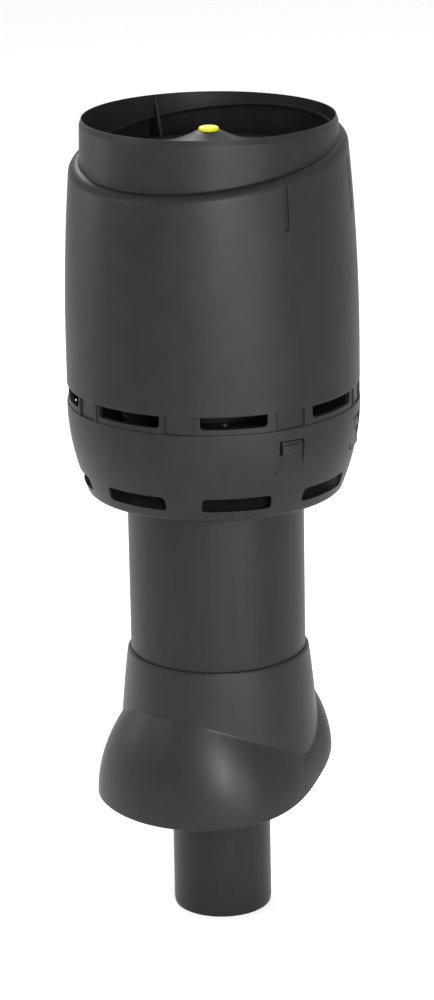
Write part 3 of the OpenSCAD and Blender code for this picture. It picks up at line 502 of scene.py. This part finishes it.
# ------------------------------------------------------------------ rain cone, plug and nozzle
def cone_z(r):
    return CONE_RIM_Z + (CONE_TOP - CONE_RIM_Z) * (1 - (np.maximum(BOSS_R, r) - BOSS_R) / (CONE_R - BOSS_R)) ** 2


ro = np.linspace(CONE_R, BOSS_R, 40)
ri = np.linspace(BOSS_R, CONE_R - CONE_WALL, 24)
lip_low = CONE_RIM_Z - CONE_LIP_H
cone_profile = [
    (CONE_R + CONE_LIP_OUT, lip_low + 0.4), (CONE_R + CONE_LIP_OUT, CONE_RIM_Z - 2.2),
    arc(CONE_R, CONE_RIM_Z - 1.6, CONE_LIP_OUT, 0, 84, 5),
    np.stack([ro, cone_z(ro)], -1)[1:],
    (PLUG_HOLE_R, CONE_TOP), (PLUG_HOLE_R, CONE_TOP - PLUG_HOLE_H),
    (SCREW_HOLE_R, CONE_TOP - PLUG_HOLE_H), (SCREW_HOLE_R, CONE_TOP - BOSS_H), (BOSS_R, CONE_TOP - BOSS_H),
    np.stack([ri, cone_z(ri) - CONE_WALL], -1)[2:],
    (CONE_R + CONE_LIP_OUT - CONE_WALL, lip_low),
]
finish_piece(revolve("rain_cone_skin", cone_profile, 192), hat_black, "rain_cone")

plug_profile = [
    (PLUG_SKIRT_R, CONE_TOP - PLUG_SKIRT_LOW), (PLUG_SKIRT_R + 0.4, CONE_TOP + 0.2),
    (PLUG_R - 0.5, CONE_TOP + 0.2), (PLUG_R, CONE_TOP + 0.7),
    arc(PLUG_R - PLUG_ROUND, CONE_TOP + PLUG_T - PLUG_ROUND, PLUG_ROUND, 0, 88, 8),
    (4.0, CONE_TOP + PLUG_T), (0.02, CONE_TOP + PLUG_T), (0.02, CONE_TOP + 1.5), (PLUG_SKIRT_IN_R, CONE_TOP + 1.5),
    (PLUG_SKIRT_IN_R, CONE_TOP - PLUG_SKIRT_LOW),
]
finish_piece(revolve("cone_plug_skin", plug_profile, 64), yellow, "cone_plug")


def nozzle_in(z):
    t = (z - DRAIN_TOP) / (NOZZLE_TOP - DRAIN_TOP)
    return DRAIN_IN_R + (NOZZLE_R - NOZZLE_WALL - DRAIN_IN_R) * smooth((1 - BELL_MIX) * t + BELL_MIX * t * t)


zo = np.linspace(NOZZLE_START, NOZZLE_TOP, 36)
zi = np.linspace(NOZZLE_TOP, DRAIN_TOP, 36)
nozzle_profile = [
    (NOZZLE_BORE_R, HUB_TOP), (FLANGE_R, HUB_TOP), (FLANGE_R, HUB_TOP + FLANGE_T), (NECK_R, HUB_TOP + FLANGE_T),
    (NECK_R, NECK_TOP), (NECK_END_R, NECK_END),
    np.stack([np.maximum(NOZZLE_BORE_R, nozzle_in(zo)) + NOZZLE_WALL, zo], -1),
    arc(NOZZLE_R - NOZZLE_WALL / 2, NOZZLE_TOP + 0.6, NOZZLE_WALL / 2, 0, 180, 6),
    np.stack([nozzle_in(zi), zi], -1), (NOZZLE_BORE_R, DRAIN_TOP),
    (NOZZLE_BORE_R, SEAL_TOP), (SEAL_R, SEAL_TOP), (SEAL_R, SEAL_LOW), (NOZZLE_BORE_R, SEAL_LOW),
]
finish_piece(revolve("exhaust_nozzle_skin", nozzle_profile, 192), hat_black, "exhaust_nozzle")


# ------------------------------------------------------------------ drain bowl
def bowl_r(z):
    t = np.maximum(0.0, CURVE_Z - z) / (CURVE_Z - BOWL_LOW)
    return BOWL_R - (BOWL_R - FOOT_R) * t ** BOWL_POWER


def half_angle(width):
    return math.degrees(math.asin(width / 2 / BOWL_R))


PANEL_HALF, RIB_HALF = half_angle(PANEL_W), half_angle(RIB_W)


def bowl_profile(b):
    """Up the outside, over the spigot ring, and down the inside to the hub and the socket. The band between
    bowl and shell steps between panels, ribs and plates."""
    off = min(abs(wrapped(b - bar)) for bar in BARS)
    band = RIB_R if abs(off - PANEL_HALF) < RIB_HALF else (PLATE_R if off > PANEL_HALF else PANEL_R)
    zo = BOWL_LOW + BOWL_START + (CURVE_Z - BOWL_LOW - BOWL_START) * np.linspace(0, 1, 34)
    zi = np.linspace(CURVE_Z, BOWL_IN_LOW, 30)
    narrowed = bowl_r(zi) - BOWL_WALL + (SPIGOT_R - BOWL_R) * smooth((zi - NARROW_Z) / NARROW_H)
    return np.vstack([
        [(FOOT_R - 4, BOWL_LOW), (FOOT_R - 1.7, BOWL_LOW), (FOOT_R - 0.7, BOWL_LOW + 0.4)],
        np.stack([bowl_r(zo), zo], -1),
        [(BOWL_R, BOWL_TOP - 1.6)], arc(BOWL_R - BOWL_EDGE, BOWL_TOP - BOWL_EDGE, BOWL_EDGE, 0, 90, 4),
        [(band + BAND_EDGE, BOWL_TOP), (band, BOWL_TOP + BAND_EDGE), (band, SHELL_LOW)],
        [(SPIGOT_R, SHELL_LOW), (SPIGOT_R, SPIGOT_TOP - EDGE), (SPIGOT_R - EDGE, SPIGOT_TOP),
         (SPIGOT_R - BOWL_WALL, SPIGOT_TOP)],
        np.stack([narrowed, zi], -1),
        [(FOOT_R - BOWL_WALL, FLOOR_EDGE_Z), (SOCKET_OUT_R, FLOOR_Z), (SOCKET_OUT_R, HUB_TOP),
         (HUB_BORE_R, HUB_TOP), (HUB_BORE_R, OUTER_TOP), (SOCKET_IN_R, OUTER_TOP), (SOCKET_IN_R, SOCKET_LOW)],
    ])


# Two columns, close together, at each side of each rib keep its walls steep
marks = np.array([s * (PANEL_HALF + d) for s in (-1, 1) for d in (
    -RIB_HALF - RIB_SIDE, -RIB_HALF + RIB_SIDE, RIB_HALF - RIB_SIDE, RIB_HALF + RIB_SIDE)])
steep = np.concatenate([bar + marks for bar in BARS])
coarse = [b for b in np.arange(0, 360, 1.875) if min(abs(wrapped(b - e)) for e in steep) > 0.4]
bearings = np.unique(np.round(np.concatenate([coarse, steep % 360.0]), 3))
bowl = loft("drain_bowl_skin", bearings, [bowl_profile(b) for b in bearings], BOWL_SHARP)


def slot_prism(bm, r_in, low, high, width, corner, turn, round_top=True):
    """A cutter that points outward at a bearing, with round corners below and, unless told not to, above."""
    side = width / 2 - corner
    pts = [*arc(-side, low + corner, corner, 180, 270, CORNER_STEPS),
           *arc(side, low + corner, corner, 270, 360, CORNER_STEPS)]
    if round_top:
        pts += [*arc(side, high - corner, corner, 0, 90, CORNER_STEPS),
                *arc(-side, high - corner, corner, 90, 180, CORNER_STEPS)]
    else:
        pts += [(width / 2, high), (-width / 2, high)]
    spin = Matrix.Rotation(math.radians(turn - 90), 4, "Z")
    rings = [[bm.verts.new(spin @ Vector((x, y, z)) * MM) for y, z in pts] for x in (r_in, CUT_END_R)]
    bm.faces.new(rings[0][::-1])
    bm.faces.new(rings[1])
    for i in range(len(pts)):
        j = (i + 1) % len(pts)
        bm.faces.new((rings[0][i], rings[0][j], rings[1][j], rings[1][i]))
    bmesh.ops.recalc_face_normals(bm, faces=bm.faces)


def combine(target, name, bm, operation):
    """Joins the target with the shapes in bm, or cuts them from it."""
    tool = mesh_of(name, bm)
    mod = target.modifiers.new("cut", "BOOLEAN")
    mod.operation = operation
    mod.solver = "EXACT"
    mod.object = tool
    graph = bpy.context.evaluated_depsgraph_get()
    mesh = bpy.data.meshes.new_from_object(target.evaluated_get(graph))
    target.modifiers.remove(mod)
    target.data = mesh
    bpy.data.objects.remove(tool)


# Walls of the thumb recesses inside the bowl
recess_low = WINDOW_LOW - RECESS_LEN
recess_r = float(bowl_r(recess_low))
half = WINDOW_W / 2 + RECESS_WALL
corner = (recess_r - RECESS_WALL, -half, recess_low - RECESS_WALL)
bm = bmesh.new()
for b in LATCHES:
    rounded_box(bm, corner, (recess_r, half, WINDOW_LOW), b, 0.0)
combine(bowl, "recess_walls", bm, "UNION")

# Upper slots fill the room between the bars, and lower ones are all alike
bm = bmesh.new()
bars = [*BARS.items(), (360.0 + next(iter(BARS)), next(iter(BARS.values())))]
for k, ((bar, bar_w), (after, after_w)) in enumerate(zip(bars, bars[1:])):
    first, last = bar + half_angle(bar_w), after - half_angle(after_w)
    width = 2 * BOWL_R * math.sin(math.radians(last - first) / 2)
    slot_prism(bm, SLOT_CUT_R, SLOT_LOW, SHELL_LOW + CUT_PAST, width, SLOT_CORNER, (first + last) / 2, False)
    slot_prism(bm, DRAIN_CUT_R, DRAIN_SLOT_Z, DRAIN_SLOT_Z + DRAIN_SLOT_H, DRAIN_SLOT_W, SLOT_CORNER, 45.0 * k)
combine(bowl, "slots", bm, "DIFFERENCE")

# Latch windows, and then the thumb recesses below them
for name, r_in, low, high in (("windows", WINDOW_CUT_R, WINDOW_LOW, WINDOW_LOW + WINDOW_H),
                              ("recesses", recess_r, recess_low - 1, WINDOW_LOW + WINDOW_H / 2)):
    bm = bmesh.new()
    for b in LATCHES:
        slot_prism(bm, r_in, low, high, WINDOW_W, WINDOW_CORNER, b)
    combine(bowl, name, bm, "DIFFERENCE")
shade(bowl.data, BOWL_SHARP)
finish_piece(bowl, hat_black, "drain_bowl")


# ------------------------------------------------------------------ small CAD pieces with softened edges
for name in ("cone_fins", "cone_underside", "cone_screw", "cone_nut", "pipe_screws", "flange_screws", "end_ring"):
    weld = nodes[name].modifiers.new("weld", "WELD")
    weld.merge_threshold = 0.00001
    soft = nodes[name].modifiers.new("soft_edges", "BEVEL")
    soft.width = 0.0003
    soft.segments = 2
    soft.limit_method = "ANGLE"
    soft.angle_limit = math.radians(35)
    soft.harden_normals = False


# ------------------------------------------------------------------ stage
make_camera()

F = FLOOR_HALF
floor_data = bpy.data.meshes.new("floor")
floor_data.from_pydata([(-F, -F, 0), (F, -F, 0), (F, F, 0), (-F, F, 0)], [], [(0, 1, 2, 3)])
floor = add_object("floor", floor_data)
floor_data.materials.append(plastic("floor_paint", grey(0.95), grey(0.96), rough=0.9, rough_spread=0.02,
                                    grain=0.05, grain_size=0.002, specular=0.1))

world = bpy.data.worlds.new("studio")
bpy.context.scene.world = world
world.use_nodes = True
world.node_tree.nodes["Background"].inputs["Color"].default_value = (1, 1, 1, 1)
world.node_tree.nodes["Background"].inputs["Strength"].default_value = 0.95
area_light("key", 10.0, 1.2, 2.5, (0.7, 0.7), 72.0, aim=(0.0, 0.0, 0.4))
area_light("strip", 34.0, 0.5, 1.8, (0.4, 0.9), 9.0, aim=(0.0, 0.0, 0.5))
area_light("left", -106.0, 0.75, 2.0, (0.3, 0.3), 5.0, aim=(0.0, 0.0, 0.2))
area_light("lip", -72.0, 1.45, 2.0, (0.4, 0.4), 8.0, aim=(0.0, 0.0, 0.9))
area_light("back_left", -165.0, 2.5, 2.0, (0.5, 0.5), 26.0, aim=(0.0, 0.0, 0.85))
area_light("back", 180.0, 3.5, 2.5, (3.0, 3.0), 32.0, aim=(-1.3, 1.8, 0.0))
bpy.context.scene.view_settings.view_transform = "Standard"
